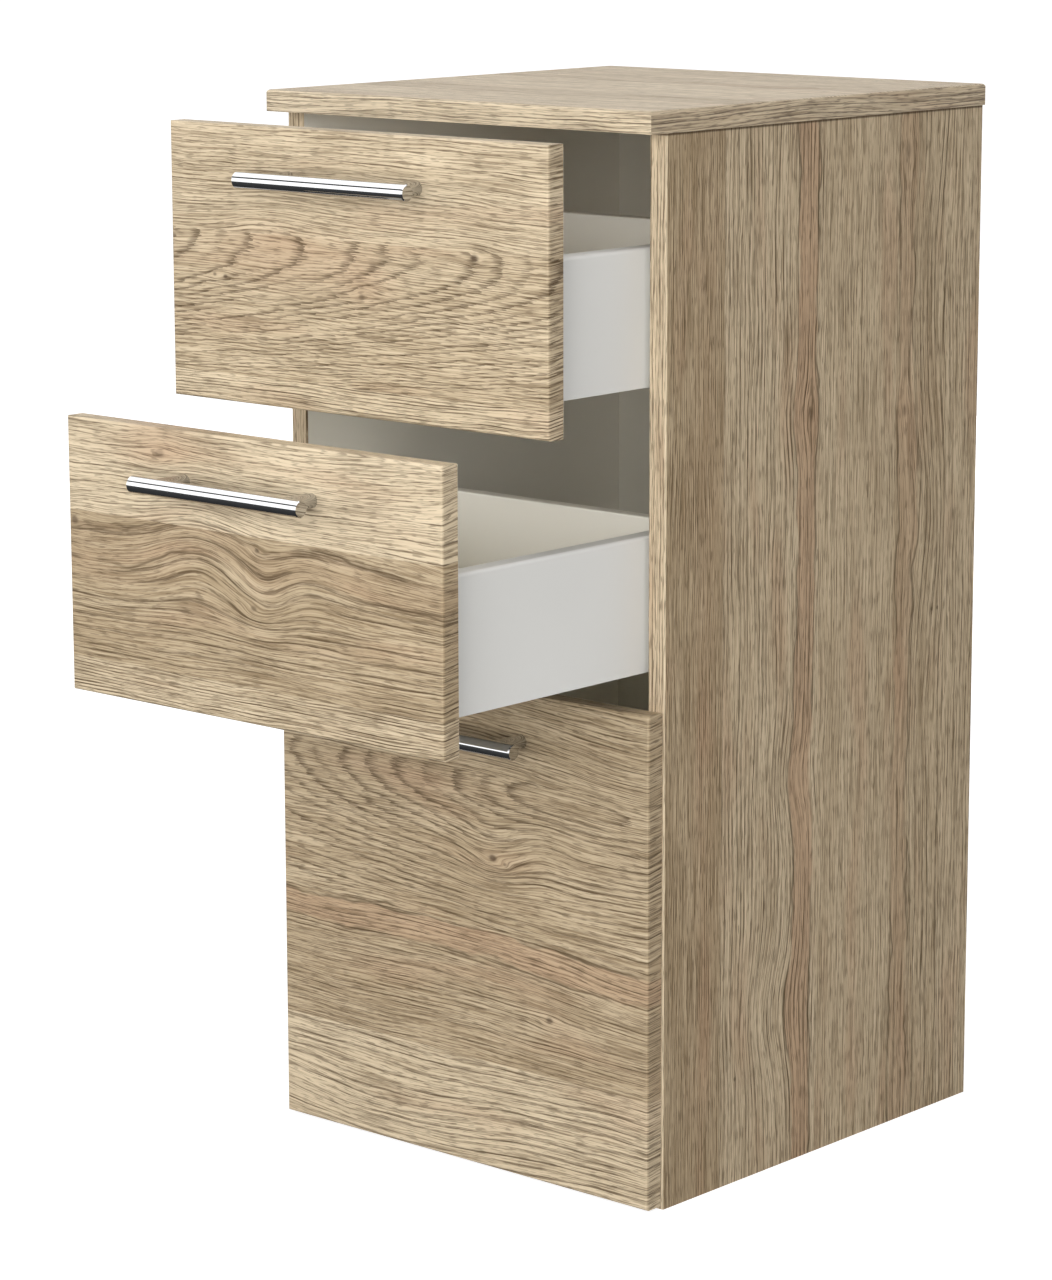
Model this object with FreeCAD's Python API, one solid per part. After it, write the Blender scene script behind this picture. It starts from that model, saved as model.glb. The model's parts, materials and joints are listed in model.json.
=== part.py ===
import FreeCAD, Part
import math
import os
from FreeCAD import Vector

# Mid-height bathroom cabinet: two drawers over a deep pull-out, on hidden roller runners.
# Millimetres. +Z is up, +X is to the right and the fronts face -Y. The origin is on the
# floor, at the centre of the carcass's footprint. The drawers are drawn as far out as shown.

# Carcass
carcass_width = 366.0
carcass_depth = 372.0
side_height = 774.0
board = 16.0
top_thickness = 16.0
top_overhang_front = 20.0
top_overhang_side = 2.0
top_overhang_back = 0.5
top_edge_radius = 2.5
side_edge_radius = 1.5
back_thickness = 3.0
back_recess = 5.5
groove_depth = 7.0
groove_clearance = 0.1
groove_end_gap = 0.5

# Fronts
front_thickness = 15.0
front_edge_radius = 2.0
front_reveal_side = 1.5
front_reveal_top = 1.0
front_reveal_bottom = 2.5
front_gap = 4.0
drawer_front_height = 199.0
front_standoff = 1.0

# How far each drawer stands open
upper_open = 106.3
middle_open = 212.5
lower_open = 0.0

# Drawer boxes
box_length = 300.0
box_side_thickness = 16.0
box_side_height = 98.0
deep_side_height = 198.0
box_side_gap = 5.0
box_rise = 22.0
box_rim_radius = 3.0
box_back_thickness = 12.0
box_back_housing = 6.0
box_back_drop = 2.0
box_back_rim_radius = 1.5
box_bottom_thickness = 8.0
box_bottom_recess = 12.0
box_groove_depth = 6.0

# Bar handles
bar_diameter = 12.0
bar_length = 164.0
bar_chamfer = 0.8
bar_standoff = 31.0
bar_drop = 35.5
post_diameter = 10.5
post_spacing = 123.0
handle_screw_diameter = 4.0
handle_screw_grip = 8.0
handle_screw_head_diameter = 8.0
handle_screw_head_height = 2.5

# Buffers between the fronts and the carcass
buffer_diameter = 8.0
buffer_clearance = 0.2
buffer_drop = 15.0

# Cam locks, their bolts and the dowels
cam_diameter = 15.0
cam_skin = 3.5
cam_distance = 24.0
cam_slot_length = 8.0
cam_slot_width = 1.6
cam_slot_depth = 2.0
bolt_head_diameter = 6.4
bolt_head_length = 3.0
bolt_neck_diameter = 4.0
bolt_neck_length = 6.0
bolt_shank_diameter = 6.0
bolt_thread_diameter = 5.0
bolt_skin = 5.0
dowel_diameter = 8.0
dowel_edge_depth = 19.0
dowel_skin = 5.0
dowel_chamfer = 0.8
cam_inset = 28.0
dowel_offset = 32.0
front_cam_rise = 13.5
front_cam_drop = 27.0
fit_clearance = 0.05
loose_clearance = 0.3
hole_end_gap = 0.5

# Runners
rail_sheet = 1.5
rail_shortfall = 10.0
rail_setback = 3.0
cabinet_rail_setback = 20.0
rail_flange_height = 23.5
rail_drop = 2.0
rail_lip_height = 3.0
cabinet_rail_width = 28.0
drawer_rail_sheet = 1.2
drawer_rail_width = 22.0
drawer_rail_leg = 9.0
drawer_rail_gap = 3.0
hook_height = 14.0
hook_width = 12.0
hook_pin_diameter = 5.0
hook_pin_length = 6.0
roller_count = 3
roller_pitch = 19.0
roller_width = 12.0
roller_clearance = 0.3
axle_diameter = 3.0
cage_height = 8.0
cage_wall = 1.8
cage_end_margin = 10.0
rail_screw_diameter = 5.0
rail_screw_head_diameter = 8.0
rail_screw_head_height = 1.8
rail_screw_skin = 4.5
rail_screw_first = 37.0
rail_screw_pitch = 32.0
rail_screw_rise = 8.0

# Cross recesses in screw heads, as shares of the head
recess_reach = 0.55
recess_width = 0.14
recess_depth = 0.5

# Wall brackets under the top
bracket_leg = 30.0
bracket_width = 40.0
bracket_sheet = 2.0
bracket_inset = 47.0
wall_hole_diameter = 6.5
wall_hole_drop = 18.0
bracket_screw_diameter = 3.5
bracket_screw_head_diameter = 7.0
bracket_screw_head_height = 2.2
bracket_screw_skin = 5.0
bracket_screw_offset = 12.0

# Faces that several pieces share
half_width = carcass_width / 2
inner_half = half_width - board
front_edge = -carcass_depth / 2
rear_edge = carcass_depth / 2
back_front_face = rear_edge - back_recess - back_thickness
front_back_face = front_edge - front_standoff
front_face = front_back_face - front_thickness
front_half_width = half_width - front_reveal_side
box_half_width = inner_half - box_side_gap
box_inner_half = box_half_width - box_side_thickness
box_rear = front_back_face + box_length
rail_centre = box_inner_half - drawer_rail_gap - drawer_rail_width / 2
rail_front = front_edge + rail_setback
rail_length = box_length - rail_shortfall
rail_rear = rail_front + rail_length
cabinet_rail_front = front_edge + cabinet_rail_setback
rail_screw_steps = math.floor((rail_length - rail_screw_first) / rail_screw_pitch)
rail_screw_spacing = rail_screw_steps * rail_screw_pitch
bracket_centre = inner_half - bracket_inset

X = Vector(1, 0, 0)
Y = Vector(0, 1, 0)
Z = Vector(0, 0, 1)


def block(x0, x1, y0, y1, z0, z1):
    """A box between two corners."""
    return Part.makeBox(x1 - x0, y1 - y0, z1 - z0, Vector(x0, y0, z0))


def rod(diameter, start, direction, length):
    """A cylinder from a point along a direction."""
    return Part.makeCylinder(diameter / 2, length, start, direction)


def joined(solids):
    """Touching solids as one piece."""
    return solids[0].fuse(solids[1:]).removeSplitter().Solids[0]


def mirrored(solids):
    """The same solids on the other side of the cabinet."""
    return [solid.mirror(Vector(0, 0, 0), X) for solid in solids]


def both_sides(solids):
    """The right-hand solids together with their left-hand images."""
    return solids + mirrored(solids)


def slid(solids, distance):
    """The solids moved towards the front by a distance."""
    moved = []
    for solid in solids:
        copy = solid.copy()
        copy.translate(Vector(0, -distance, 0))
        moved.append(copy)
    return moved


def save(name, solids):
    """One file for one named piece, or for one group of like pieces."""
    shape = solids[0] if len(solids) == 1 else Part.makeCompound(solids)
    shape.exportStep(os.path.join("parts", name + ".step"))


def turned(solid, origin, face, bolt):
    """A solid drawn with its face along +Z and its bolt along +Y, set at a place in the cabinet."""
    rotation = FreeCAD.Rotation(bolt.cross(face), bolt, face, "ZYX")
    solid.Placement = FreeCAD.Placement(origin, rotation)
    return solid


# Fasteners. A cam joint is given by the point where its bolt crosses from one board to the
# other, the bolt's direction into the second board and the side that the cam opens to.

def cam_lock(point, bolt, face, thickness):
    height = thickness - cam_skin
    body = Part.makeCylinder(cam_diameter / 2, height, Vector(0, 0, thickness / 2 - height))
    seat_diameter = bolt_head_diameter + 2 * loose_clearance
    seat_start = Vector(0, -bolt_head_length, 0)
    seat = rod(seat_diameter, seat_start, Y, bolt_head_length + cam_diameter)
    slot_floor = thickness / 2 - cam_slot_depth
    slots = []
    for length, width in ((cam_slot_length, cam_slot_width), (cam_slot_width, cam_slot_length)):
        slots.append(block(-length / 2, length / 2, -width / 2, width / 2, slot_floor, thickness / 2))
    return turned(body.cut([seat] + slots).Solids[0], point - bolt * cam_distance, face, bolt)


def cam_bolt(point, bolt, thread_length):
    centre = point - bolt * cam_distance
    head = rod(bolt_head_diameter, centre - bolt * (bolt_head_length / 2), bolt, bolt_head_length)
    neck = rod(bolt_neck_diameter, centre, bolt, bolt_neck_length + bolt_head_length)
    shank_start = centre + bolt * (bolt_neck_length + bolt_head_length / 2)
    shank_length = cam_distance - bolt_neck_length - bolt_head_length / 2
    shank = rod(bolt_shank_diameter, shank_start, bolt, shank_length)
    thread = rod(bolt_thread_diameter, point, bolt, thread_length)
    return joined([head, neck, shank, thread])


def cam_cuts(point, bolt, face, thickness):
    """The holes for a cam and for its bolt's shank, in the board that holds the cam."""
    centre = point - bolt * cam_distance
    hole_diameter = cam_diameter + 2 * fit_clearance
    depth = thickness - cam_skin
    cam_hole = rod(hole_diameter, centre + face * (thickness / 2), face * -1, depth)
    shank_hole = rod(bolt_shank_diameter + 2 * loose_clearance, centre, bolt, cam_distance)
    return [cam_hole, shank_hole]


def thread_cut(point, bolt, thread_length):
    """The hole for a bolt's thread, in the board that the bolt is screwed into."""
    return rod(bolt_thread_diameter + 2 * fit_clearance, point, bolt, thread_length + hole_end_gap)


def dowel(point, direction, face_depth):
    start = point - direction * dowel_edge_depth
    pin = rod(dowel_diameter, start, direction, dowel_edge_depth + face_depth)
    ends = [edge for edge in pin.Edges if edge.Curve.TypeId == "Part::GeomCircle"]
    return pin.makeChamfer(dowel_chamfer, ends)


def dowel_cut(point, direction, depth):
    return rod(dowel_diameter + 2 * fit_clearance, point, direction, depth + hole_end_gap)


def pan_screw(point, direction, diameter, length, head_diameter, head_height):
    """A screw whose head lies against a face at the point, with its shank along the direction."""
    shank = rod(diameter, point, direction, length)
    head_top = point - direction * head_height
    head = rod(head_diameter, head_top, direction, head_height)
    reach = head_diameter * recess_reach / 2
    breadth = head_diameter * recess_width / 2
    recess = []
    for along, across in ((reach, breadth), (breadth, reach)):
        arm = block(-along, along, -across, across, 0, head_height * recess_depth)
        arm.Placement = FreeCAD.Placement(head_top, FreeCAD.Rotation(Z, direction))
        recess.append(arm)
    return joined([head, shank]).cut(recess).Solids[0]


def cam_places(edge_x, level):
    """Front and rear places of the carcass's cam joints, on the right."""
    reach = carcass_depth / 2 - cam_inset
    return [Vector(edge_x, y, level) for y in (-reach, reach)]


def dowel_places(edge_x, level):
    """Front and rear places of the carcass's dowels, on the right."""
    reach = carcass_depth / 2 - cam_inset - dowel_offset
    return [Vector(edge_x, y, level) for y in (-reach, reach)]


# The right-hand joints of the carcass: side panel to top, and bottom panel to side panel
top_cams = cam_places(half_width - board / 2, side_height)
top_dowels = dowel_places(half_width - board / 2, side_height)
bottom_cams = cam_places(inner_half, board / 2)
bottom_dowels = dowel_places(inner_half, board / 2)
top_thread = top_thickness - bolt_skin
side_thread = board - bolt_skin
front_thread = front_thickness - bolt_skin
top_dowel_depth = top_thickness - dowel_skin
side_dowel_depth = board - dowel_skin


# Places of the drawers

def drawer(name, front_bottom, front_height, side, opened):
    return {"name": name, "bottom": front_bottom, "height": front_height, "side": side, "open": opened}


upper_bottom = side_height - front_reveal_top - drawer_front_height
middle_bottom = upper_bottom - front_gap - drawer_front_height
lower_height = middle_bottom - front_gap - front_reveal_bottom
drawers = [
    drawer("upper", upper_bottom, drawer_front_height, box_side_height, upper_open),
    drawer("middle", middle_bottom, drawer_front_height, box_side_height, middle_open),
    drawer("lower", front_reveal_bottom, lower_height, deep_side_height, lower_open),
]


def box_floor(place):
    """Height of the lower edge of a drawer box's sides."""
    return place["bottom"] + box_rise


def rail_screw_places(place):
    """Where a right-hand rail's screws enter the side panel."""
    level = box_floor(place) + rail_screw_rise
    first = front_edge + rail_screw_first
    return [Vector(inner_half, y, level) for y in (first, first + rail_screw_spacing)]


# Carcass

def back_groove(low_x, high_x, low_z, high_z):
    """The groove that takes the back panel's edge."""
    low_y = back_front_face - groove_clearance
    high_y = back_front_face + back_thickness + groove_clearance
    return block(low_x, high_x, low_y, high_y, low_z, high_z)


def side_panel():
    panel = block(inner_half, half_width, front_edge, rear_edge, 0, side_height)
    corners = []
    for edge in panel.Edges:
        upright = edge.BoundBox.ZLength > board
        if upright and abs(edge.CenterOfMass.y - front_edge) < fit_clearance:
            corners.append(edge)
    panel = panel.makeFillet(side_edge_radius, corners)
    cuts = [back_groove(inner_half, inner_half + groove_depth, board - groove_depth, side_height)]
    for point in top_cams:
        cuts += cam_cuts(point, Z, X * -1, board)
    for point in top_dowels:
        cuts.append(dowel_cut(point, Z * -1, dowel_edge_depth))
    for point in bottom_cams:
        cuts.append(thread_cut(point, X, side_thread))
    for point in bottom_dowels:
        cuts.append(dowel_cut(point, X, side_dowel_depth))
    for place in drawers:
        for point in rail_screw_places(place):
            depth = board - rail_screw_skin + hole_end_gap
            cuts.append(rod(rail_screw_diameter + 2 * fit_clearance, point, X, depth))
    return panel.cut(cuts).Solids[0]


def top_panel():
    low_y = front_edge - top_overhang_front
    high_y = rear_edge + top_overhang_back
    reach = half_width + top_overhang_side
    top_face = side_height + top_thickness
    panel = block(-reach, reach, low_y, high_y, side_height, top_face)
    rim = [edge for edge in panel.Edges if edge.BoundBox.ZMin > side_height + top_thickness / 2]
    panel = panel.makeFillet(top_edge_radius, rim)
    groove_reach = inner_half + groove_depth
    cuts = [back_groove(-groove_reach, groove_reach, side_height, side_height + groove_depth)]
    right = [thread_cut(point, Z, top_thread) for point in top_cams]
    right += [dowel_cut(point, Z, top_dowel_depth) for point in top_dowels]
    for point in bracket_screw_places():
        depth = top_thickness - bracket_screw_skin + hole_end_gap
        right.append(rod(bracket_screw_diameter + 2 * fit_clearance, point, Z, depth))
    return panel.cut(cuts + both_sides(right)).Solids[0]


def bottom_panel():
    panel = block(-inner_half, inner_half, front_edge, rear_edge, 0, board)
    cuts = [back_groove(-inner_half, inner_half, board - groove_depth, board)]
    right = []
    for point in bottom_cams:
        right += cam_cuts(point, X, Z * -1, board)
    for point in bottom_dowels:
        right.append(dowel_cut(point, X * -1, dowel_edge_depth))
    return panel.cut(cuts + both_sides(right)).Solids[0]


def back_panel():
    reach = inner_half + groove_depth - groove_end_gap
    low_z = board - groove_depth + groove_end_gap
    high_z = side_height + groove_depth - groove_end_gap
    panel = block(-reach, reach, back_front_face, back_front_face + back_thickness, low_z, high_z)
    holes = []
    for x in (-bracket_centre, bracket_centre):
        start = Vector(x, back_front_face, side_height - wall_hole_drop)
        holes.append(rod(wall_hole_diameter, start, Y, back_thickness))
    return panel.cut(holes).Solids[0]


def bracket_screw_places():
    """Where the right-hand wall bracket's screws enter the top panel."""
    y = back_front_face - bracket_leg / 2
    shifts = (-bracket_screw_offset, bracket_screw_offset)
    return [Vector(bracket_centre + shift, y, side_height) for shift in shifts]


def wall_bracket():
    low_x = bracket_centre - bracket_width / 2
    high_x = low_x + bracket_width
    upper_leg = block(low_x, high_x, back_front_face - bracket_leg, back_front_face,
                      side_height - bracket_sheet, side_height)
    rear_leg = block(low_x, high_x, back_front_face - bracket_sheet, back_front_face,
                     side_height - bracket_leg, side_height)
    hole_start = Vector(bracket_centre, back_front_face - bracket_sheet, side_height - wall_hole_drop)
    holes = [rod(wall_hole_diameter, hole_start, Y, bracket_sheet)]
    for point in bracket_screw_places():
        holes.append(rod(bracket_screw_diameter + 2 * fit_clearance, point, Z * -1, bracket_sheet))
    return joined([upper_leg, rear_leg]).cut(holes).Solids[0]


def bracket_screws():
    screws = []
    for point in bracket_screw_places():
        length = bracket_sheet + top_thickness - bracket_screw_skin
        screws.append(pan_screw(point - Z * bracket_sheet, Z, bracket_screw_diameter, length,
                                bracket_screw_head_diameter, bracket_screw_head_height))
    return screws


def carcass():
    panel = [side_panel()]
    save("side_panel_right", panel)
    save("side_panel_left", mirrored(panel))
    save("top_panel", [top_panel()])
    save("bottom_panel", [bottom_panel()])
    save("back_panel", [back_panel()])
    cams = [cam_lock(point, Z, X * -1, board) for point in top_cams]
    cams += [cam_lock(point, X, Z * -1, board) for point in bottom_cams]
    save("cam_locks", both_sides(cams))
    bolts = [cam_bolt(point, Z, top_thread) for point in top_cams]
    bolts += [cam_bolt(point, X, side_thread) for point in bottom_cams]
    save("cam_bolts", both_sides(bolts))
    dowels = [dowel(point, Z, top_dowel_depth) for point in top_dowels]
    dowels += [dowel(point, X, side_dowel_depth) for point in bottom_dowels]
    save("wood_dowels", both_sides(dowels))
    save("wall_brackets", both_sides([wall_bracket()]))
    save("wall_bracket_screws", both_sides(bracket_screws()))


# Runners, on the right

def cabinet_rail(place):
    flange_top = box_floor(place) - rail_drop
    flange_bottom = flange_top - rail_sheet
    inner_x = rail_centre - cabinet_rail_width / 2
    front = cabinet_rail_front
    upright = block(inner_half - rail_sheet, inner_half, front, rail_rear,
                    flange_bottom, flange_bottom + rail_flange_height)
    flange = block(inner_x, inner_half, front, rail_rear, flange_bottom, flange_top)
    lip = block(inner_x, inner_x + rail_sheet, front, rail_rear, flange_bottom, flange_top + rail_lip_height)
    holes = []
    for point in rail_screw_places(place):
        holes.append(rod(rail_screw_diameter + 2 * fit_clearance, point, X * -1, rail_sheet))
    return joined([upright, flange, lip]).cut(holes).Solids[0]


def rail_screws(place):
    screws = []
    for point in rail_screw_places(place):
        length = rail_sheet + board - rail_screw_skin
        screws.append(pan_screw(point - X * rail_sheet, X, rail_screw_diameter, length,
                                rail_screw_head_diameter, rail_screw_head_height))
    return screws


def hook_pin_level(place):
    """Height of the pin that holds a drawer rail to the drawer's back wall."""
    return box_floor(place) + box_bottom_recess + box_bottom_thickness + hook_height / 2


def drawer_rail(place):
    web_top = box_floor(place) + box_bottom_recess
    web_bottom = web_top - drawer_rail_sheet
    low_x = rail_centre - drawer_rail_width / 2
    high_x = low_x + drawer_rail_width
    leg_bottom = web_top - drawer_rail_leg
    hook_rear = box_rear + drawer_rail_sheet
    web = block(low_x, high_x, rail_front, hook_rear, web_bottom, web_top)
    inner_leg = block(low_x, low_x + drawer_rail_sheet, rail_front, box_rear, leg_bottom, web_top)
    outer_leg = block(high_x - drawer_rail_sheet, high_x, rail_front, box_rear, leg_bottom, web_top)
    hook = block(rail_centre - hook_width / 2, rail_centre + hook_width / 2, box_rear, hook_rear,
                 web_bottom, web_top + box_bottom_thickness + hook_height)
    pin_start = Vector(rail_centre, hook_rear, hook_pin_level(place))
    pin = rod(hook_pin_diameter, pin_start, Y * -1, drawer_rail_sheet + hook_pin_length)
    return joined([web, inner_leg, outer_leg, hook, pin])


def roller_cage(place):
    """A cage bar and the rollers that run in it, between the two rails."""
    track_low = box_floor(place) - rail_drop
    track_high = box_floor(place) + box_bottom_recess - drawer_rail_sheet
    level = (track_low + track_high) / 2
    roller_diameter = track_high - track_low - 2 * roller_clearance
    pocket_width = roller_width + 2 * loose_clearance
    cage_half_width = pocket_width / 2 + cage_wall
    cage_length = (roller_count - 1) * roller_pitch + roller_diameter + 2 * cage_end_margin
    cage_front = rail_front + (rail_length - cage_length) / 2
    bar = block(rail_centre - cage_half_width, rail_centre + cage_half_width, cage_front,
                cage_front + cage_length, level - cage_height / 2, level + cage_height / 2)
    cuts = []
    rollers = []
    for index in range(roller_count):
        y = cage_front + cage_end_margin + roller_diameter / 2 + index * roller_pitch
        pocket_start = Vector(rail_centre - pocket_width / 2, y, level)
        cuts.append(rod(roller_diameter + 2 * loose_clearance, pocket_start, X, pocket_width))
        axle_start = Vector(rail_centre - cage_half_width, y, level)
        cuts.append(rod(axle_diameter + 2 * fit_clearance, axle_start, X, 2 * cage_half_width))
        wheel = rod(roller_diameter, Vector(rail_centre - roller_width / 2, y, level), X, roller_width)
        axle = rod(axle_diameter, axle_start, X, 2 * cage_half_width)
        rollers.append(joined([wheel, axle]))
    return [bar.cut(cuts).Solids[0]] + rollers


# Drawers

def handle_level(place):
    return place["bottom"] + place["height"] - bar_drop


def handle_posts_x():
    return (-post_spacing / 2, post_spacing / 2)


def front_cam_places(place):
    """Where the bolts on the right enter the front's back face."""
    low = box_floor(place) + box_bottom_recess + box_bottom_thickness + front_cam_rise
    high = box_floor(place) + place["side"] - front_cam_drop
    x = box_half_width - box_side_thickness / 2
    return [Vector(x, front_back_face, level) for level in (low, high)]


def box_bottom_cut(place):
    """The grooves that take the edges of a drawer's bottom, in its sides and its front."""
    reach = box_inner_half + box_groove_depth
    low_z = box_floor(place) + box_bottom_recess - groove_clearance
    high_z = box_floor(place) + box_bottom_recess + box_bottom_thickness + groove_clearance
    return block(-reach, reach, front_back_face - box_groove_depth, box_rear, low_z, high_z)


def drawer_front(place):
    low_z = place["bottom"]
    high_z = low_z + place["height"]
    panel = block(-front_half_width, front_half_width, front_face, front_back_face, low_z, high_z)
    rim = [edge for edge in panel.Edges if edge.BoundBox.YMax < front_face + front_thickness / 2]
    panel = panel.makeFillet(front_edge_radius, rim)
    cuts = [box_bottom_cut(place)]
    for x in handle_posts_x():
        start = Vector(x, front_face, handle_level(place))
        cuts.append(rod(handle_screw_diameter + 2 * loose_clearance, start, Y, front_thickness))
    right = [thread_cut(point, Y * -1, front_thread) for point in front_cam_places(place)]
    return panel.cut(cuts + both_sides(right)).Solids[0]


def box_side(place):
    low_z = box_floor(place)
    high_z = low_z + place["side"]
    panel = block(box_inner_half, box_half_width, front_back_face, box_rear, low_z, high_z)
    rims = []
    for edge in panel.Edges:
        lengthwise = edge.BoundBox.YLength > box_length / 2
        if lengthwise and edge.BoundBox.ZMin > low_z + place["side"] / 2:
            rims.append(edge)
    panel = panel.makeFillet(box_rim_radius, rims)
    housing = block(box_inner_half, box_inner_half + box_back_housing, box_rear - box_back_thickness,
                    box_rear, low_z + box_bottom_recess, high_z - box_back_drop)
    cuts = [box_bottom_cut(place), housing]
    for point in front_cam_places(place):
        cuts += cam_cuts(point, Y * -1, X * -1, box_side_thickness)
    return panel.cut(cuts).Solids[0]


def box_back(place):
    reach = box_inner_half + box_back_housing - fit_clearance
    low_z = box_floor(place) + box_bottom_recess + box_bottom_thickness
    high_z = box_floor(place) + place["side"] - box_back_drop
    panel = block(-reach, reach, box_rear - box_back_thickness, box_rear, low_z, high_z)
    rims = [edge for edge in panel.Edges if edge.BoundBox.XLength > reach and edge.BoundBox.ZMin > low_z]
    panel = panel.makeFillet(box_back_rim_radius, rims)
    start = Vector(rail_centre, box_rear, hook_pin_level(place))
    hole = rod(hook_pin_diameter + 2 * fit_clearance, start, Y * -1, hook_pin_length + hole_end_gap)
    return panel.cut(both_sides([hole])).Solids[0]


def box_bottom(place):
    reach = box_inner_half + box_groove_depth - groove_end_gap
    low_y = front_back_face - box_groove_depth + groove_end_gap
    low_z = box_floor(place) + box_bottom_recess
    return block(-reach, reach, low_y, box_rear, low_z, low_z + box_bottom_thickness)


def bar_axis_point(x, place):
    return Vector(x, front_face - bar_standoff, handle_level(place))


def handle_bar(place):
    bar = rod(bar_diameter, bar_axis_point(-bar_length / 2, place), X, bar_length)
    ends = [edge for edge in bar.Edges if edge.Curve.TypeId == "Part::GeomCircle"]
    return bar.makeChamfer(bar_chamfer, ends)


def handle_posts(place):
    posts = []
    bar_seat = rod(bar_diameter + 2 * fit_clearance, bar_axis_point(-bar_length / 2, place), X, bar_length)
    for x in handle_posts_x():
        post = rod(post_diameter, bar_axis_point(x, place), Y, bar_standoff)
        screw_start = Vector(x, front_face, handle_level(place))
        screw_hole = rod(handle_screw_diameter + 2 * fit_clearance, screw_start, Y * -1,
                         handle_screw_grip + hole_end_gap)
        posts.append(post.cut([bar_seat, screw_hole]).Solids[0])
    return posts


def handle_screws(place):
    screws = []
    for x in handle_posts_x():
        point = Vector(x, front_back_face, handle_level(place))
        length = front_thickness + handle_screw_grip
        screws.append(pan_screw(point, Y * -1, handle_screw_diameter, length,
                                handle_screw_head_diameter, handle_screw_head_height))
    return screws


def front_buffers(place):
    """Thin buffers on the front's back, level with the side panels' edges."""
    level = place["bottom"] + place["height"] - buffer_drop
    start = Vector(half_width - board / 2, front_back_face, level)
    return both_sides([rod(buffer_diameter, start, Y, front_standoff - buffer_clearance)])


def drawer_pieces(place):
    """The pieces that move with a drawer, drawn closed, by the end of their names."""
    side = [box_side(place)]
    rail = [drawer_rail(place)]
    cams = [cam_lock(point, Y * -1, X * -1, box_side_thickness) for point in front_cam_places(place)]
    bolts = [cam_bolt(point, Y * -1, front_thread) for point in front_cam_places(place)]
    return {
        "front": [drawer_front(place)],
        "front_buffers": front_buffers(place),
        "front_cams": both_sides(cams),
        "front_bolts": both_sides(bolts),
        "handle_bar": [handle_bar(place)],
        "handle_posts": handle_posts(place),
        "handle_screws": handle_screws(place),
        "box_side_right": side,
        "box_side_left": mirrored(side),
        "box_back": [box_back(place)],
        "box_bottom": [box_bottom(place)],
        "drawer_rail_right": rail,
        "drawer_rail_left": mirrored(rail),
    }


def drawer_unit(place):
    """A drawer at its opening, its runners' cages half as far out, and its fixed rails."""
    for ending, solids in drawer_pieces(place).items():
        save(place["name"] + "_" + ending, slid(solids, place["open"]))
    cages = both_sides(roller_cage(place))
    save(place["name"] + "_runner_cages", slid(cages, place["open"] / 2))
    rail = [cabinet_rail(place)]
    save(place["name"] + "_cabinet_rail_right", rail)
    save(place["name"] + "_cabinet_rail_left", mirrored(rail))


os.makedirs("parts", exist_ok=True)
carcass()
all_rail_screws = []
for place in drawers:
    drawer_unit(place)
    all_rail_screws += rail_screws(place)
save("rail_screws", both_sides(all_rail_screws))
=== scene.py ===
import json
import math
import bpy
from mathutils import Matrix, Vector


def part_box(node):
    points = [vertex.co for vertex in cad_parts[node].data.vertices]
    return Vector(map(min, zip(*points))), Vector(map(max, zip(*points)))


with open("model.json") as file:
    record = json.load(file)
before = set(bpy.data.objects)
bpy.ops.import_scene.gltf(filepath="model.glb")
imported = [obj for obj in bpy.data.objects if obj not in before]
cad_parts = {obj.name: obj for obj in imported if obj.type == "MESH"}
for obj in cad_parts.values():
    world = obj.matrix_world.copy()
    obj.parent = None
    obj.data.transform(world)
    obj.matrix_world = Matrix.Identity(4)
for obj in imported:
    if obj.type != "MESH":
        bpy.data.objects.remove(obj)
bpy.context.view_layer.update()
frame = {"nodes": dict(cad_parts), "record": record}
nodes = frame["nodes"]
drawer_names = ("upper", "middle", "lower")

# Camera: its place in metres, its direction, and its focal length in pixels of the photograph
image_height = 1280
focal_pixels = 4084.75
sensor = 36.0
camera_place = (1.97302, -2.35740, 0.98207)
camera_azimuth = math.radians(41.494)
camera_elevation = math.radians(11.301)
camera_roll = math.radians(-0.1356)

# Light and stage, in metres and watts. The cards are what polished metal shows: dark flags, bright screens.
world_light = 0.30
lamp_target = (0.0, -0.25, 0.42)
lamp_size = 2.2
lamps = {
    "key_lamp": ((1.70, -3.32, 1.02), 90.0),
    "right_lamp": ((3.43, -1.64, 0.80), 34.0),
    "left_lamp": ((-2.02, -3.13, 1.17), 44.0),
    "top_lamp": ((0.0, -0.5, 3.4), 28.0),
    "back_lamp": ((-1.6, 3.3, 0.95), 40.0),
}
light_bounces = 10
floor_albedo = 0.45
floor_bounce = 0.34
floor_glow = 0.86
floor_mottle = 0.01
floor_cloud = 1.5
floor_fade_mm = (700.0, 2000.0)
floor_reach = 40.0
card_sides = (-6.0, 3.0)
floor_flag = (-0.21, -4.5)
floor_flag_height = 0.004
flag_steps = ((22, 23, 25), (30, 31, 33))
flag_cloud = 2.0
stage_roughness = 0.9
screen_place = -2.4
screen_heights = (0.2, 2.1, 3.4)
screen_back = 1.5
screen_glow = 1.8

millimetres = 1000.0
white = (1.0, 1.0, 1.0, 1.0)


def linear(red, green, blue):
    """A colour given in sRGB steps of 255, as the shader takes it."""
    channels = []
    for step in (red, green, blue):
        value = step / 255
        channels.append(value / 12.92 if value <= 0.04045 else ((value + 0.055) / 1.055) ** 2.4)
    return (*channels, 1.0)


def grey(level):
    """A grey of a level, as the shader takes it."""
    return (level, level, level, 1.0)


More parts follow.
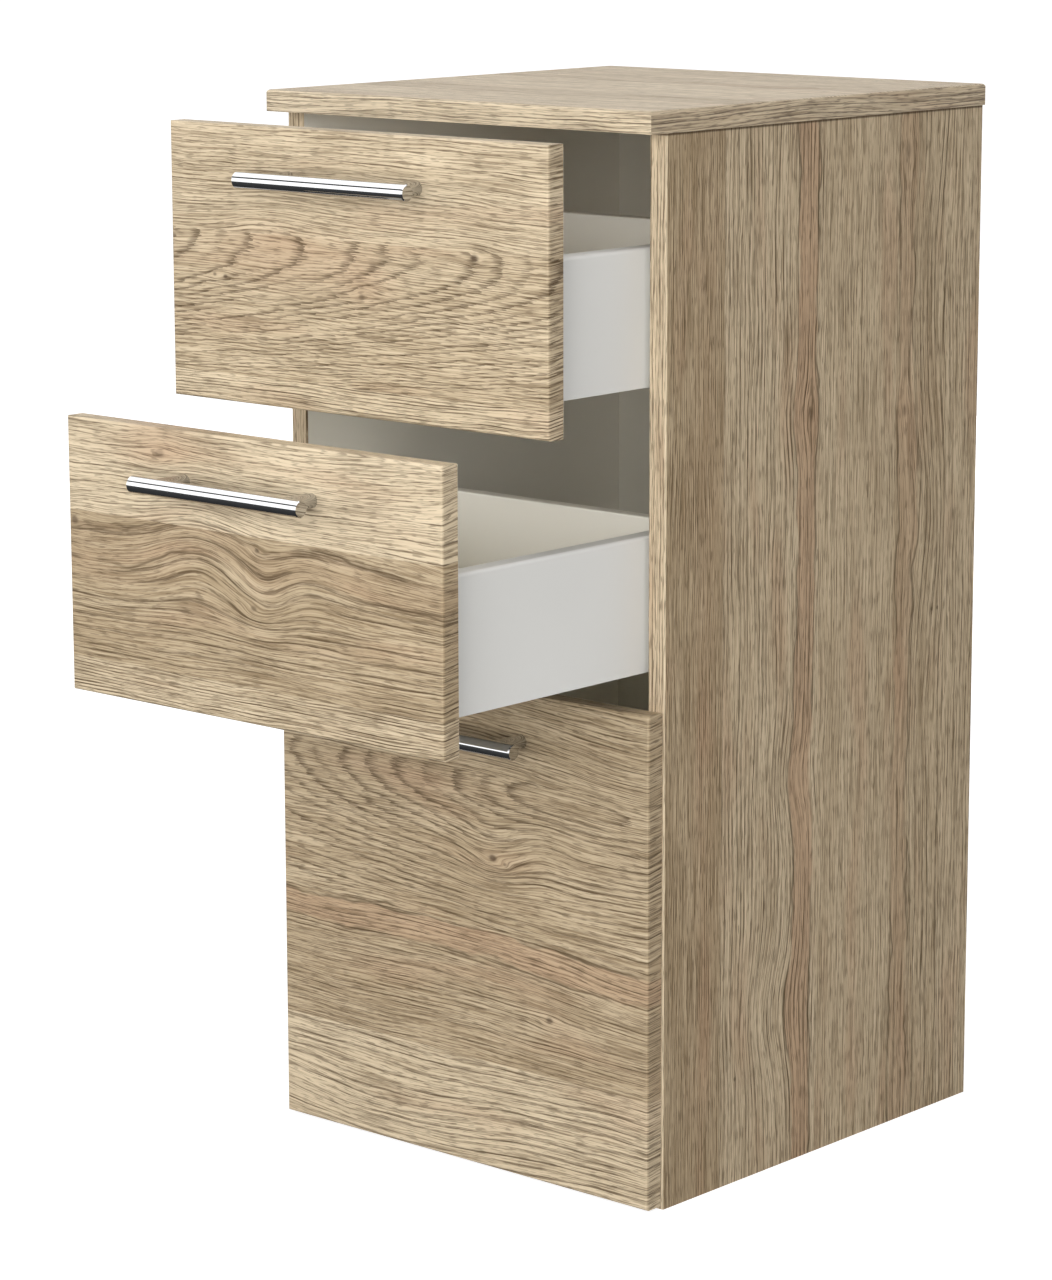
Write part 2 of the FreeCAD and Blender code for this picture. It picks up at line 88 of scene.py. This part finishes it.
class Field:
    """A number that varies over a surface: an output in a material's nodes, with plain arithmetic."""

    def __init__(self, tree, socket):
        self.tree = tree
        self.socket = socket

    def into(self, socket):
        self.tree.links.new(self.socket, socket)

    def math(self, operation, *others):
        node = self.tree.nodes.new("ShaderNodeMath")
        node.operation = operation
        for value, socket in zip((self, *others), node.inputs):
            put(value, socket)
        return Field(self.tree, node.outputs[0])

    def __add__(self, other):
        return self.math("ADD", other)

    def __sub__(self, other):
        return self.math("SUBTRACT", other)

    def __mul__(self, other):
        return self.math("MULTIPLY", other)

    def __truediv__(self, other):
        return self.math("DIVIDE", other)

    def squared(self):
        return self.math("MULTIPLY", self)

    def root(self):
        return self.math("SQRT")

    def size(self):
        return self.math("ABSOLUTE")

    def above(self, level):
        """1 where the field is above a level, else 0."""
        return self.math("GREATER_THAN", level)

    def flipped(self):
        """1 less the field."""
        return (self * -1.0) + 1.0

    def smooth(self, low, high):
        """0 below low, 1 above high, with a soft step between."""
        node = self.tree.nodes.new("ShaderNodeMapRange")
        node.interpolation_type = "SMOOTHSTEP"
        self.into(node.inputs["Value"])
        node.inputs["From Min"].default_value = low
        node.inputs["From Max"].default_value = high
        return Field(self.tree, node.outputs["Result"])


def put(value, socket):
    """A field or a plain number into a socket."""
    if isinstance(value, Field):
        value.into(socket)
    else:
        socket.default_value = value


def noise(along, across, detail, roughness):
    """Soft noise of two fields, about 0.5 in the mean, with features one unit long."""
    tree = along.tree
    pair = tree.nodes.new("ShaderNodeCombineXYZ")
    along.into(pair.inputs[0])
    across.into(pair.inputs[1])
    node = tree.nodes.new("ShaderNodeTexNoise")
    node.noise_dimensions = "2D"
    tree.links.new(pair.outputs[0], node.inputs["Vector"])
    node.inputs["Scale"].default_value = 1.0
    node.inputs["Detail"].default_value = detail
    node.inputs["Roughness"].default_value = roughness
    return Field(tree, node.outputs["Fac"])


def solid_noise(tree, scale, detail):
    """Soft noise in the piece's own space, with features one metre long over the scale."""
    place = tree.nodes.new("ShaderNodeTexCoord")
    node = tree.nodes.new("ShaderNodeTexNoise")
    tree.links.new(place.outputs["Object"], node.inputs["Vector"])
    node.inputs["Scale"].default_value = scale
    node.inputs["Detail"].default_value = detail
    return Field(tree, node.outputs["Fac"])


def hill(u, v, middle_u, width_u, middle_v, width_v):
    """A smooth hill of height 1."""
    along = (u - middle_u) / width_u
    across = (v - middle_v) / width_v
    return ((along.squared() + across.squared()) * -1.0).math("EXPONENT")


def blend(tree, share, first, second):
    """A colour between two colours, each a plain colour or a colour socket."""
    node = tree.nodes.new("ShaderNodeMix")
    node.data_type = "RGBA"
    factor = next(s for s in node.inputs if s.identifier == "Factor_Float")
    ends = [s for s in node.inputs if s.identifier in ("A_Color", "B_Color")]
    put(share, factor)
    for value, socket in zip((first, second), ends):
        if isinstance(value, tuple):
            socket.default_value = value
        else:
            tree.links.new(value, socket)
    return next(s for s in node.outputs if s.identifier == "Result_Color")


def new_material(name):
    """A material with its node tree and its shader."""
    material = bpy.data.materials.new(name)
    material.use_nodes = True
    tree = material.node_tree
    return material, tree, tree.nodes["Principled BSDF"]


def axes(tree):
    """The piece's own X, Y and Z in millimetres."""
    place = tree.nodes.new("ShaderNodeTexCoord")
    split = tree.nodes.new("ShaderNodeSeparateXYZ")
    tree.links.new(place.outputs["Object"], split.inputs[0])
    return [Field(tree, output) * millimetres for output in split.outputs]


def raise_surface(tree, shader, height, depth):
    """Relief of a given depth in metres."""
    bump = tree.nodes.new("ShaderNodeBump")
    bump.inputs["Strength"].default_value = 1.0
    bump.inputs["Distance"].default_value = depth
    height.into(bump.inputs["Height"])
    tree.links.new(bump.outputs["Normal"], shader.inputs["Normal"])


# Oak decor. A face is drawn in millimetres: u runs along the grain, v across it. Each plank has its own
# count of growth rings over the face. Every ring darkens towards its end, where the next one starts light.

oak_light = linear(222, 204, 174)
oak_shade = linear(162, 141, 110)
oak_warm = linear(184, 151, 121)
oak_line = linear(84, 66, 44)
oak_knot = linear(74, 57, 42)
oak_roughness = 0.46
oak_line_roughness = 0.10
oak_relief = 0.00022
facing_limit = 0.7
front_sheen = 0.2
side_sheen = 0.05
top_sheen = 0.55

# The share of its depth that a front's grain climbs over its ends, and the white coat behind and inside
front_lift = 0.12
white_coat = linear(247, 244, 235)
coat_skin = 0.05

# Sizes of the oak's unevenness along and across the grain, in millimetres, and how far each one reaches
sway = (150.0, 45.0)
sway_reach = 7.0
ripple = (50.0, 7.0)
ripple_reach = 1.2
ragged_tip = (60.0, 1.1)
ragged_reach = 18.0
ring_spacing = (80.0, 14.0)
ring_spacing_reach = 0.6
streak_wander = (45.0, 60.0)
streak_wander_reach = 12.0
streak_break = (90.0, 40.0)
fibre_size = (70.0, 1.2)
fleck_size = (14.0, 0.85)
cloud_size = (200.0, 20.0)
flush_size = (160.0, 30.0)

# Planks lie far apart in the noise, so that none repeats another. Rings differ in strength. Ovals crowd.
plank_shift = 517.0
ring_length = 150.0
ring_shift = 0.73
oval_crowding = 1.15

# Soft steps: nothing below the first number, all above the second. Those of a streak are in millimetres.
ring_strength = (0.28, 0.60)
ring_edge = (0.52, 0.94)
thread_step = (0.50, 0.64)
pore_step = (0.57, 0.71)
tone_step = (-0.2, 1.2)
flush_step = (0.5, 0.8)
knot_step = (0.1, 0.9)
streak_start = (0.0, 1.2)
streak_stop = (-4.0, 1.0)
rim_rise = (-2.5, 0.0)
rim_fall = (0.0, 1.2)
rim_break = (0.4, 0.55)

# A knot's reach and core, in radii along and across the grain, and how far it parts the grain
knot_reach = (6.0, 2.6)
knot_core = (1.3, 0.9)
knot_part = 0.7

# Shares of tone, warmth and line: pores gather on rings, rings fade between threads, narrow ends are darker
noise_mean = 0.5
tone_mean = 0.60
tone_cloud = 0.5
tone_fibre = 1.4
end_shade = 0.16
end_contrast = 0.25
flush_warmth = 0.4
warm_share = 0.7
pore_gather = 0.2
ring_faded = 0.55
ring_thread = 0.5

# How dark each kind of line is, and how far it is sunk
thread_share = 0.32
ring_share = 0.72
pore_share = 0.48
rim_share = 0.7
# Darkness of the painted shadow under an overhang, drawn as a dark line
overhang_shadow_share = 0.8
thread_depth = 0.6
ring_depth = 0.5
pore_depth = 0.5


def straight(pitch):
    """Rings as lines along the grain, a pitch apart."""
    return lambda u, v: v / pitch


def widening(middle, unit):
    """Rings as lines along the grain, closer and closer away from a middle line."""
    return lambda u, v: ((v - middle) / unit).squared()


def arches(middle, width, length):
    """Rings as arches that point along the grain, a length apart."""
    return lambda u, v: (u + ((v - middle) / width).squared()) / length


def ovals(middle_u, middle_v, slimness, unit):
    """Rings as long ovals, closer and closer away from their middle."""
    def rings(u, v):
        along = (u - middle_u) * slimness
        across = v - middle_v
        return ((along.squared() + across.squared()).root() / unit).math("POWER", oval_crowding)
    return rings


class Plank:
    """One strip of a face, from its start across the grain to the next one's. The first starts outside."""

    def __init__(self, start, rings, tone=0.0, warmth=0.0, lines=1.0):
        self.start = start
        self.rings = rings
        self.tone = tone
        self.warmth = warmth
        self.lines = lines


class Face:
    """An oak face: its seed, its planks, and what bends, marks and tints its grain, in millimetres.

    A bend is a height, then a middle and a width along the grain, and the same across it. A knot is its
    place, radius and darkness. A blush is a warm patch: a middle and a width along the grain, the same
    across it, and an amount. A streak is a warm band: two lines of the grain and an amount. Last comes the
    width of a dark line where u starts: painted shadow, the shade under an overhanging part.
    """

    def __init__(self, seed, planks, bends=(), knots=(), blushes=(), streaks=(), contrast=1.0, seam=0.0):
        self.seed = seed
        self.planks = planks
        self.bends = bends
        self.knots = knots
        self.blushes = blushes
        self.streaks = streaks
        self.contrast = contrast
        self.seam = seam


def rough(along, across, size, detail=1.0, roughness=0.5):
    """Soft noise, about 0.5 in the mean, with features of a size along and across the grain."""
    return noise(along / size[0], across / size[1], detail, roughness)


def swing(along, across, size, reach, detail=1.0):
    """Soft noise about 0, with a reach from its lowest to its highest."""
    return (rough(along, across, size, detail) - noise_mean) * reach


def plank_fields(u, v, face):
    """The planks' masks, a u that sets the planks apart in the noise, and their tone, warmth and lines."""
    masks = [v.above(plank.start) for plank in face.planks]
    for index in range(len(masks) - 1):
        masks[index] = masks[index] - masks[index + 1]
    drift = u + face.seed
    tone = v * 0.0
    warmth = v * 0.0
    lines = v * 0.0
    for index, (plank, mask) in enumerate(zip(face.planks, masks)):
        drift = drift + mask * (index * plank_shift)
        tone = tone + mask * plank.tone
        warmth = warmth + mask * plank.warmth
        lines = lines + mask * plank.lines
    return masks, drift, tone, warmth, lines


def bent_grain(u, v, drift, face):
    """Which line of the grain runs through each place, and how dark the knots are."""
    grain = v + swing(drift, v, sway, sway_reach, detail=2.0)
    for height, *place in face.bends:
        grain = grain + hill(u, v, *place) * height
    spots = v * 0.0
    for middle_u, middle_v, radius, depth in face.knots:
        near = hill(u, v, middle_u, radius * knot_reach[0], middle_v, radius * knot_reach[1])
        grain = grain - (v - middle_v) * near * knot_part
        core = hill(u, v, middle_u, radius * knot_core[0], middle_v, radius * knot_core[1])
        spots = spots + core.smooth(*knot_step) * depth
    grain = grain + swing(drift, grain, ripple, ripple_reach)
    return grain, spots


def ring_lines(u, grain, drift, face, masks):
    """How dark the end of each growth ring is, with ragged tips where a ring turns across the grain."""
    ragged = u + swing(drift, grain, ragged_tip, ragged_reach)
    count = swing(drift, grain, ring_spacing, ring_spacing_reach)
    for plank, mask in zip(face.planks, masks):
        count = count + mask * plank.rings(ragged, grain)
    strength = noise(drift / ring_length, count.math("FLOOR") * ring_shift, 1.0, 0.5).smooth(*ring_strength)
    return count.math("FRACT").smooth(*ring_edge) * strength


def streak_rim(distance):
    """A dark line beside one edge of a streak."""
    return distance.smooth(*rim_rise) * distance.smooth(*rim_fall).flipped()


def streak_fields(drift, grain, face):
    """How warm the streaks are, and how dark their broken rims."""
    warmth = grain * 0.0
    rims = grain * 0.0
    for low, high, amount in face.streaks:
        wander = grain + swing(drift, grain, streak_wander, streak_wander_reach, detail=2.0)
        inside = (wander - low).smooth(*streak_start) * (wander - high).smooth(*streak_stop).flipped()
        broken = rough(drift, grain, streak_break).smooth(*rim_break)
        warmth = warmth + inside * amount
        rims = rims + (streak_rim(wander - low) + streak_rim(wander - high)) * broken
    return warmth, rims


def oak_faces(tree, u, v, face, end):
    """The colour socket and the relief field of an oak face, darker and with more contrast on its ends."""
    masks, drift, tone, warmth, lines = plank_fields(u, v, face)
    grain, spots = bent_grain(u, v, drift, face)
    ring = ring_lines(u, grain, drift, face, masks) * lines
    fibre = rough(drift, grain, fibre_size, detail=3.0, roughness=0.6)
    thread = fibre.smooth(*thread_step)
    pore = (rough(drift, grain, fleck_size) + ring * pore_gather).smooth(*pore_step)
    ring = ring * (thread * ring_thread + ring_faded)
    tone = tone + swing(drift, grain, cloud_size, tone_cloud, detail=2.0)
    tone = tone - (fibre - noise_mean) * tone_fibre - end * end_shade + tone_mean
    streak_warmth, rims = streak_fields(drift, grain, face)
    blush = rough(drift, grain, flush_size).smooth(*flush_step) * flush_warmth + warmth + streak_warmth
    for middle_u, width_u, middle_v, width_v, amount in face.blushes:
        blush = blush + hill(u, v, middle_u, width_u, middle_v, width_v) * amount
    colour = blend(tree, tone.smooth(*tone_step), oak_shade, oak_light)
    colour = blend(tree, blush.smooth(0.0, 1.0) * warm_share, colour, oak_warm)
    contrast = end * end_contrast + face.contrast
    for field, share in ((thread, thread_share), (ring, ring_share), (pore, pore_share)):
        colour = blend(tree, field * contrast * share, colour, oak_line)
    colour = blend(tree, rims * rim_share, colour, oak_line)
    colour = blend(tree, spots, colour, oak_knot)
    # Painted shadow: a dark line along the edge where u starts, standing in for the shade under an
    # overhanging part
    if face.seam:
        seam = u.smooth(face.seam * 0.5, face.seam).flipped()
        colour = blend(tree, seam * overhang_shadow_share, colour, oak_knot)
    return colour, thread * -thread_depth - ring * ring_depth - pore * pore_depth


def facing(tree, axis):
    """1 on faces that look along X, Y or Z, counted from 0, in either direction, else 0."""
    place = tree.nodes.new("ShaderNodeTexCoord")
    split = tree.nodes.new("ShaderNodeSeparateXYZ")
    tree.links.new(place.outputs["Normal"], split.inputs[0])
    return Field(tree, split.outputs[axis]).size().above(facing_limit)


def oak(name, place, face, sheen, inner=None, ends=True):
    """An oak decor material. place gives u and v from X, Y and Z, and inner the share of coated white."""
    material, tree, shader = new_material(name)
    x, y, z = axes(tree)
    u, v = place(x, y, z)
    colour, relief = oak_faces(tree, u, v, face, facing(tree, 0) if ends else x * 0.0)
    if inner is not None:
        share = inner(x, y, z)
        colour = blend(tree, share, colour, white_coat)
        relief = relief * share.flipped()
    tree.links.new(colour, shader.inputs["Base Color"])
    (relief * -oak_line_roughness + oak_roughness).into(shader.inputs["Roughness"])
    shader.inputs["Specular IOR Level"].default_value = sheen
    raise_surface(tree, shader, relief, oak_relief)
    return material


def front_place(node):
    """Where a front's grain runs: along its width, with v down from its upper edge."""
    low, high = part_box(node)
    left = low.x * millimetres
    face = low.y * millimetres
    top = high.z * millimetres

    def place(x, y, z):
        depth = y - face
        lift = facing(x.tree, 2) * (1.0 - front_lift) + front_lift
        return (x - left) + depth, (z * -1.0 + top) + depth * lift

    return place


def front_back(node):
    """The white back of a front."""
    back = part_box(node)[1].y * millimetres
    return lambda x, y, z: y.above(back - coat_skin)


def dress(node, material):
    """A material on every slot of a piece."""
    slots = nodes[node].data.materials
    if not slots:
        slots.append(material)
    for index in range(len(slots)):
        slots[index] = material


front_faces = {
    "upper": Face(
        0.0,
        planks=[
            Plank(-20.0, straight(2.7), tone=0.06, lines=0.6),
            Plank(76.0, arches(82.0, 3.9, 27.0), tone=-0.12),
            Plank(179.0, straight(2.4), tone=0.15, lines=1.3),
        ],
        bends=[(-9.0, 400.0, 120.0, 55.0, 40.0), (7.0, 95.0, 60.0, 66.0, 14.0)],
        knots=[
            (296.0, 80.0, 3.2, 0.8), (55.0, 109.0, 1.8, 0.7), (44.0, 108.0, 1.5, 0.6),
            (190.0, 114.0, 2.4, 0.5),
        ],
        blushes=[(110.0, 90.0, 90.0, 26.0, 0.55), (195.0, 30.0, 105.0, 20.0, 0.4)],
    ),
    "middle": Face(
        2200.0,
        planks=[
            Plank(-20.0, straight(3.0), tone=0.22, lines=0.6),
            Plank(67.0, widening(50.0, 29.0), tone=-0.40),
            Plank(173.0, straight(2.2), tone=-0.06, lines=1.3),
        ],
        bends=[
            (18.0, 130.0, 46.0, 86.0, 34.0), (-9.0, 196.0, 24.0, 104.0, 26.0),
            (6.0, 242.0, 36.0, 95.0, 30.0), (7.0, 400.0, 90.0, 15.0, 30.0),
            (-9.0, 400.0, 80.0, 80.0, 20.0),
        ],
        knots=[
            (190.0, 76.0, 2.0, 0.6), (6.0, 75.0, 3.2, 0.7), (95.0, 18.0, 4.0, 0.35),
            (186.0, 117.0, 2.6, 0.5),
        ],
        streaks=[(74.0, 102.0, 0.25)],
        blushes=[(95.0, 60.0, 15.0, 14.0, 0.5)],
    ),
    "lower": Face(
        4400.0,
        planks=[
            Plank(-20.0, straight(2.8), tone=-0.28, lines=0.8),
            Plank(65.0, ovals(305.0, 72.0, 0.2, 8.0), tone=-0.28),
            Plank(181.0, straight(3.4), tone=-0.3, warmth=0.1, lines=0.9),
            Plank(283.0, straight(5.2), tone=0.12),
        ],
        bends=[
            (-14.0, 370.0, 110.0, 45.0, 40.0), (-11.0, 215.0, 34.0, 126.0, 26.0),
            (5.0, 262.0, 30.0, 116.0, 20.0), (-15.0, 380.0, 110.0, 215.0, 36.0),
            (-13.0, 118.0, 110.0, 345.0, 40.0),
        ],
        knots=[(215.0, 127.0, 3.2, 0.8), (227.0, 130.0, 1.6, 0.5), (270.0, 240.0, 2.8, 0.7)],
        streaks=[(183.0, 203.0, 0.55)],
        blushes=[(140.0, 130.0, 78.0, 14.0, 0.35), (230.0, 40.0, 128.0, 12.0, 0.4)],
    ),
}
for name in drawer_names:
    node = name + "_front"
    dress(node, oak("oak_" + node, front_place(node), front_faces[name], front_sheen, front_back(node)))


side_low, side_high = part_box("side_panel_right")
side_inner = side_low.x * millimetres
side_outer = side_high.x * millimetres


def side_place(x, y, z):
    """Where a side panel's grain runs: upright, with v back from the front edge."""
    return z * -1.0 + side_high.z * millimetres, (y - side_low.y * millimetres) + x.size() - side_outer


def side_lining(x, y, z):
    """The white inner face of a side panel."""
    return x.size().above(side_inner + coat_skin).flipped()


side_warmth = 0.16
side_contrast = 1.05
# Width in millimetres of a painted shadow along each side panel's top edge, the shade under the top's
# overhang
side_overhang_shadow = 2.4
# Each side panel's front edge: a lighter edge band, partly its own lighter tone and partly painted light
side_edge_band_and_highlight = [
    Plank(-20.0, straight(3.0), tone=0.50, warmth=0.3),
    # A thin light strip over the rounded arris: a painted highlight
    Plank(-1.6, straight(3.0), tone=0.9, lines=0.2),
]
side_faces = {
    "side_panel_right": Face(
        7000.0,
        contrast=side_contrast,
        seam=side_overhang_shadow,
        planks=side_edge_band_and_highlight + [
            Plank(0.4, straight(2.3), tone=-0.44, warmth=side_warmth, lines=0.7),
            Plank(64.0, straight(4.4), tone=-0.02, warmth=side_warmth),
            Plank(178.0, straight(3.0), tone=-0.10, warmth=side_warmth, lines=0.45),
            Plank(268.0, straight(8.0), tone=-0.22, warmth=side_warmth, lines=0.6),
            Plank(300.0, straight(5.6), tone=-0.20, warmth=side_warmth),
            Plank(332.0, straight(3.8), tone=-0.07, warmth=side_warmth, lines=0.8),
        ],
        bends=[
            (5.0, 213.0, 30.0, 142.0, 22.0), (9.0, 480.0, 36.0, 146.0, 26.0),
            (12.0, 655.0, 44.0, 120.0, 34.0), (9.0, 130.0, 90.0, 315.0, 26.0),
            (-7.0, 300.0, 60.0, 305.0, 26.0), (5.0, 460.0, 80.0, 310.0, 22.0),
        ],
        knots=[
            (212.0, 165.0, 4.0, 0.3), (378.0, 318.0, 1.5, 0.7), (378.0, 325.0, 1.5, 0.7),
            (28.0, 279.0, 5.0, 0.35), (222.0, 279.0, 3.6, 0.4), (695.0, 82.0, 1.5, 0.7),
        ],
        streaks=[(149.0, 172.0, 0.7), (271.0, 292.0, 0.35)],
        blushes=[(340.0, 400.0, 45.0, 16.0, 0.2)],
    ),
    "side_panel_left": Face(
        9000.0,
        contrast=side_contrast,
        seam=side_overhang_shadow,
        planks=side_edge_band_and_highlight + [
            Plank(0.4, straight(3.4), tone=-0.12, warmth=side_warmth),
            Plank(120.0, straight(4.4), tone=-0.27, warmth=side_warmth),
            Plank(250.0, straight(2.8), tone=-0.07, warmth=side_warmth),
        ],
        bends=[(-12.0, 300.0, 60.0, 160.0, 40.0)],
        knots=[(300.0, 158.0, 3.0, 0.5)],
        blushes=[(420.0, 120.0, 170.0, 16.0, 0.5)],
    ),
}
for node, face in side_faces.items():
    dress(node, oak("oak_" + node, side_place, face, side_sheen, side_lining, ends=False))


def top_place(x, y, z):
    """Where the top's grain runs: along its width, and along each end's length."""
    low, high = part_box("top_panel")
    end = facing(x.tree, 0)
    rest = end.flipped()
    u = (x - low.x * millimetres) * rest + (y - low.y * millimetres) * end
    v = ((y * -1.0) + high.y * millimetres) * rest + (z * -1.0 + high.z * millimetres)
    return u, v


dress("top_panel", oak("oak_top_panel", top_place, Face(
    11000.0,
    planks=[
        Plank(-20.0, straight(3.0), tone=-0.05),
        Plank(125.0, straight(4.0), tone=-0.2, warmth=0.1),
        Plank(150.0, straight(3.2), tone=0.1),
        Plank(262.0, straight(2.6), tone=-0.2),
        Plank(306.0, straight(3.2), tone=0.05),
        Plank(392.0, straight(3.0), tone=0.3),
    ],
    bends=[(10.0, 200.0, 120.0, 80.0, 60.0), (-8.0, 240.0, 90.0, 220.0, 40.0)],
    knots=[(290.0, 152.0, 2.0, 0.5)],
), top_sheen))


# Other finishes: scales of their unevenness, per metre, and depths of relief in metres

coat_pebble = 900.0
coat_cloud = 7.0
coat_roughness = 0.38
coat_spread = 0.14
coat_relief = 0.00003
plain_spread = 0.2
uneven = (0.3, 0.7)


def coated_board(name, colour, darker):
    """Matte white coated board: a fine pebbled coat, hardly uneven in tone."""
    material, tree, shader = new_material(name)
    pebble = solid_noise(tree, coat_pebble, detail=2.0)
    cloud = solid_noise(tree, coat_cloud, detail=2.0)
    tint = blend(tree, cloud.smooth(*uneven), darker, colour)
    tree.links.new(tint, shader.inputs["Base Color"])
    (pebble * coat_spread + coat_roughness).into(shader.inputs["Roughness"])
    raise_surface(tree, shader, pebble, coat_relief)
    return material


def metal(name, colour, worn, roughness, spread, scale):
    """A metal with soft unevenness in tone and polish."""
    material, tree, shader = new_material(name)
    cloud = solid_noise(tree, scale, detail=3.0)
    tint = blend(tree, cloud.smooth(*uneven), worn, colour)
    tree.links.new(tint, shader.inputs["Base Color"])
    shader.inputs["Metallic"].default_value = 1.0
    (cloud * spread + roughness).into(shader.inputs["Roughness"])
    return material


def plain(name, colour, darker, roughness, scale, relief):
    """A matte material with fine relief."""
    material, tree, shader = new_material(name)
    grain = solid_noise(tree, scale, detail=3.0)
    tint = blend(tree, grain.smooth(*uneven), darker, colour)
    tree.links.new(tint, shader.inputs["Base Color"])
    (grain * plain_spread + roughness).into(shader.inputs["Roughness"])
    raise_surface(tree, shader, grain, relief)
    return material


# A metal has a colour, a worn colour, a roughness and its spread, and a scale. A plain finish has a colour,
# a darker colour, a roughness, a scale and a relief.
finishes = {
    "white_board": coated_board("white_board", linear(221, 220, 216), linear(218, 217, 213)),
    "chrome": metal("chrome", linear(197, 198, 199), linear(192, 193, 194), 0.02, 0.02, 60.0),
    "steel": metal("steel", linear(206, 208, 210), linear(182, 184, 186), 0.24, 0.2, 220.0),
    "zinc": metal("zinc", linear(188, 190, 192), linear(160, 162, 164), 0.34, 0.2, 350.0),
    "beech": plain("beech", linear(219, 189, 150), linear(198, 164, 124), 0.5, 300.0, 0.0001),
    "nylon": plain("nylon", linear(232, 232, 226), linear(222, 222, 214), 0.34, 500.0, 0.00003),
    "buffer": plain("buffer", linear(214, 214, 210), linear(204, 204, 200), 0.3, 500.0, 0.00003),
}
for subpart in frame["record"]["subparts"]:
    if subpart["material_slot"] in finishes:
        dress(subpart["node"], finishes[subpart["material_slot"]])

lining = coated_board("white_lining", white_coat, linear(245, 242, 232))
lined = ["back_panel", "bottom_panel"]
for name in drawer_names:
    lined += [name + "_box_back", name + "_box_bottom"]
for node in lined:
    dress(node, lining)


# Stage, light and camera

def seen_share(tree):
    """1 for rays from the camera and for rays that metal or glass sends on, else 0."""
    path = tree.nodes.new("ShaderNodeLightPath")
    seen = Field(tree, path.outputs["Is Camera Ray"])
    for name in ("Is Glossy Ray", "Is Transmission Ray"):
        seen = seen.math("MAXIMUM", Field(tree, path.outputs[name]))
    return seen


def make_world():
    """Plain light from all around, and a white backdrop that only the camera and polished metal see."""
    world = bpy.data.worlds.new("studio")
    bpy.context.scene.world = world
    world.use_nodes = True
    tree = world.node_tree
    light = tree.nodes["Background"]
    light.inputs["Color"].default_value = white
    light.inputs["Strength"].default_value = world_light
    backdrop = tree.nodes.new("ShaderNodeBackground")
    backdrop.inputs["Color"].default_value = white
    backdrop.inputs["Strength"].default_value = 1.0
    choice = tree.nodes.new("ShaderNodeMixShader")
    seen_share(tree).into(choice.inputs[0])
    tree.links.new(light.outputs[0], choice.inputs[1])
    tree.links.new(backdrop.outputs[0], choice.inputs[2])
    tree.links.new(choice.outputs[0], tree.nodes["World Output"].inputs["Surface"])


def card(name, corners, material):
    """A flat stage card through four corners."""
    mesh = bpy.data.meshes.new(name)
    mesh.from_pydata(corners, [], [(0, 1, 2, 3)])
    mesh.materials.append(material)
    piece = bpy.data.objects.new(name, mesh)
    bpy.context.scene.collection.objects.link(piece)
    return piece


def make_floor():
    """A pale floor that turns to plain white away from the object."""
    material, tree, shader = new_material("studio_floor")
    cloud = solid_noise(tree, floor_cloud, detail=2.0)
    tint = blend(tree, cloud, grey(floor_albedo), grey(floor_albedo + floor_mottle))
    tint = blend(tree, seen_share(tree), grey(floor_bounce), tint)
    tree.links.new(tint, shader.inputs["Base Color"])
    shader.inputs["Roughness"].default_value = stage_roughness
    shader.inputs["Specular IOR Level"].default_value = 0.0
    shader.inputs["Emission Color"].default_value = white
    x, y, _ = axes(tree)
    away = (x.squared() + y.squared()).root().smooth(*floor_fade_mm)
    glow = seen_share(tree) * (away * (1.0 - floor_glow) + floor_glow)
    glow.into(shader.inputs["Emission Strength"])
    r = floor_reach
    card("studio_floor", [(-r, -r, 0), (r, -r, 0), (r, r, 0), (-r, r, 0)], material)


def make_cards():
    """What only polished metal shows: dark cards over the floor and high in front, and bright screens."""
    dark, tree, shader = new_material("studio_flag")
    cloud = solid_noise(tree, flag_cloud, detail=2.0)
    tint = blend(tree, cloud, *[linear(*steps) for steps in flag_steps])
    tree.links.new(tint, shader.inputs["Base Color"])
    shader.inputs["Roughness"].default_value = stage_roughness
    bright, _, shader = new_material("studio_screen")
    shader.inputs["Emission Color"].default_value = white
    shader.inputs["Emission Strength"].default_value = screen_glow
    left, right = card_sides
    near, far = floor_flag
    low, middle, high = screen_heights

    def across(first, second):
        """A card's corners over its whole width, between two places in Y and Z."""
        return [(left, *first), (right, *first), (right, *second), (left, *second)]

    cards = [
        card("floor_flag", across((far, floor_flag_height), (near, floor_flag_height)), dark),
        card("high_flag", across((screen_place, middle), (screen_place, high)), dark),
        card("front_screen", across((screen_place, low), (screen_place, middle)), bright),
        card("high_screen", across((screen_place, high), (screen_back, high)), bright),
    ]
    for piece in cards:
        piece.visible_camera = False
        piece.visible_diffuse = False
        piece.visible_transmission = False
        piece.visible_shadow = False


def area_lamp(name, place, power):
    """A soft square lamp that looks at the object and that polished metal doesn't show."""
    data = bpy.data.lights.new(name, "AREA")
    data.shape = "SQUARE"
    data.size = lamp_size
    data.energy = power
    lamp = bpy.data.objects.new(name, data)
    bpy.context.scene.collection.objects.link(lamp)
    lamp.location = place
    lamp.rotation_euler = (Vector(place) - Vector(lamp_target)).to_track_quat("Z", "Y").to_euler()
    lamp.visible_glossy = False


def make_camera():
    """The photograph's camera."""
    data = bpy.data.cameras.new("camera")
    data.sensor_width = sensor
    data.lens = focal_pixels * sensor / image_height
    camera = bpy.data.objects.new("camera", data)
    bpy.context.scene.collection.objects.link(camera)
    turn = Matrix.Rotation(camera_azimuth, 4, "Z")
    tilt = Matrix.Rotation(math.pi / 2 - camera_elevation, 4, "X")
    roll = Matrix.Rotation(camera_roll, 4, "Z")
    camera.matrix_world = Matrix.Translation(camera_place) @ turn @ tilt @ roll
    bpy.context.scene.camera = camera


make_world()
make_floor()
make_cards()
for name, (place, power) in lamps.items():
    area_lamp(name, place, power)
make_camera()
bpy.context.scene.view_settings.view_transform = "Standard"
bpy.context.scene.cycles.diffuse_bounces = light_bounces
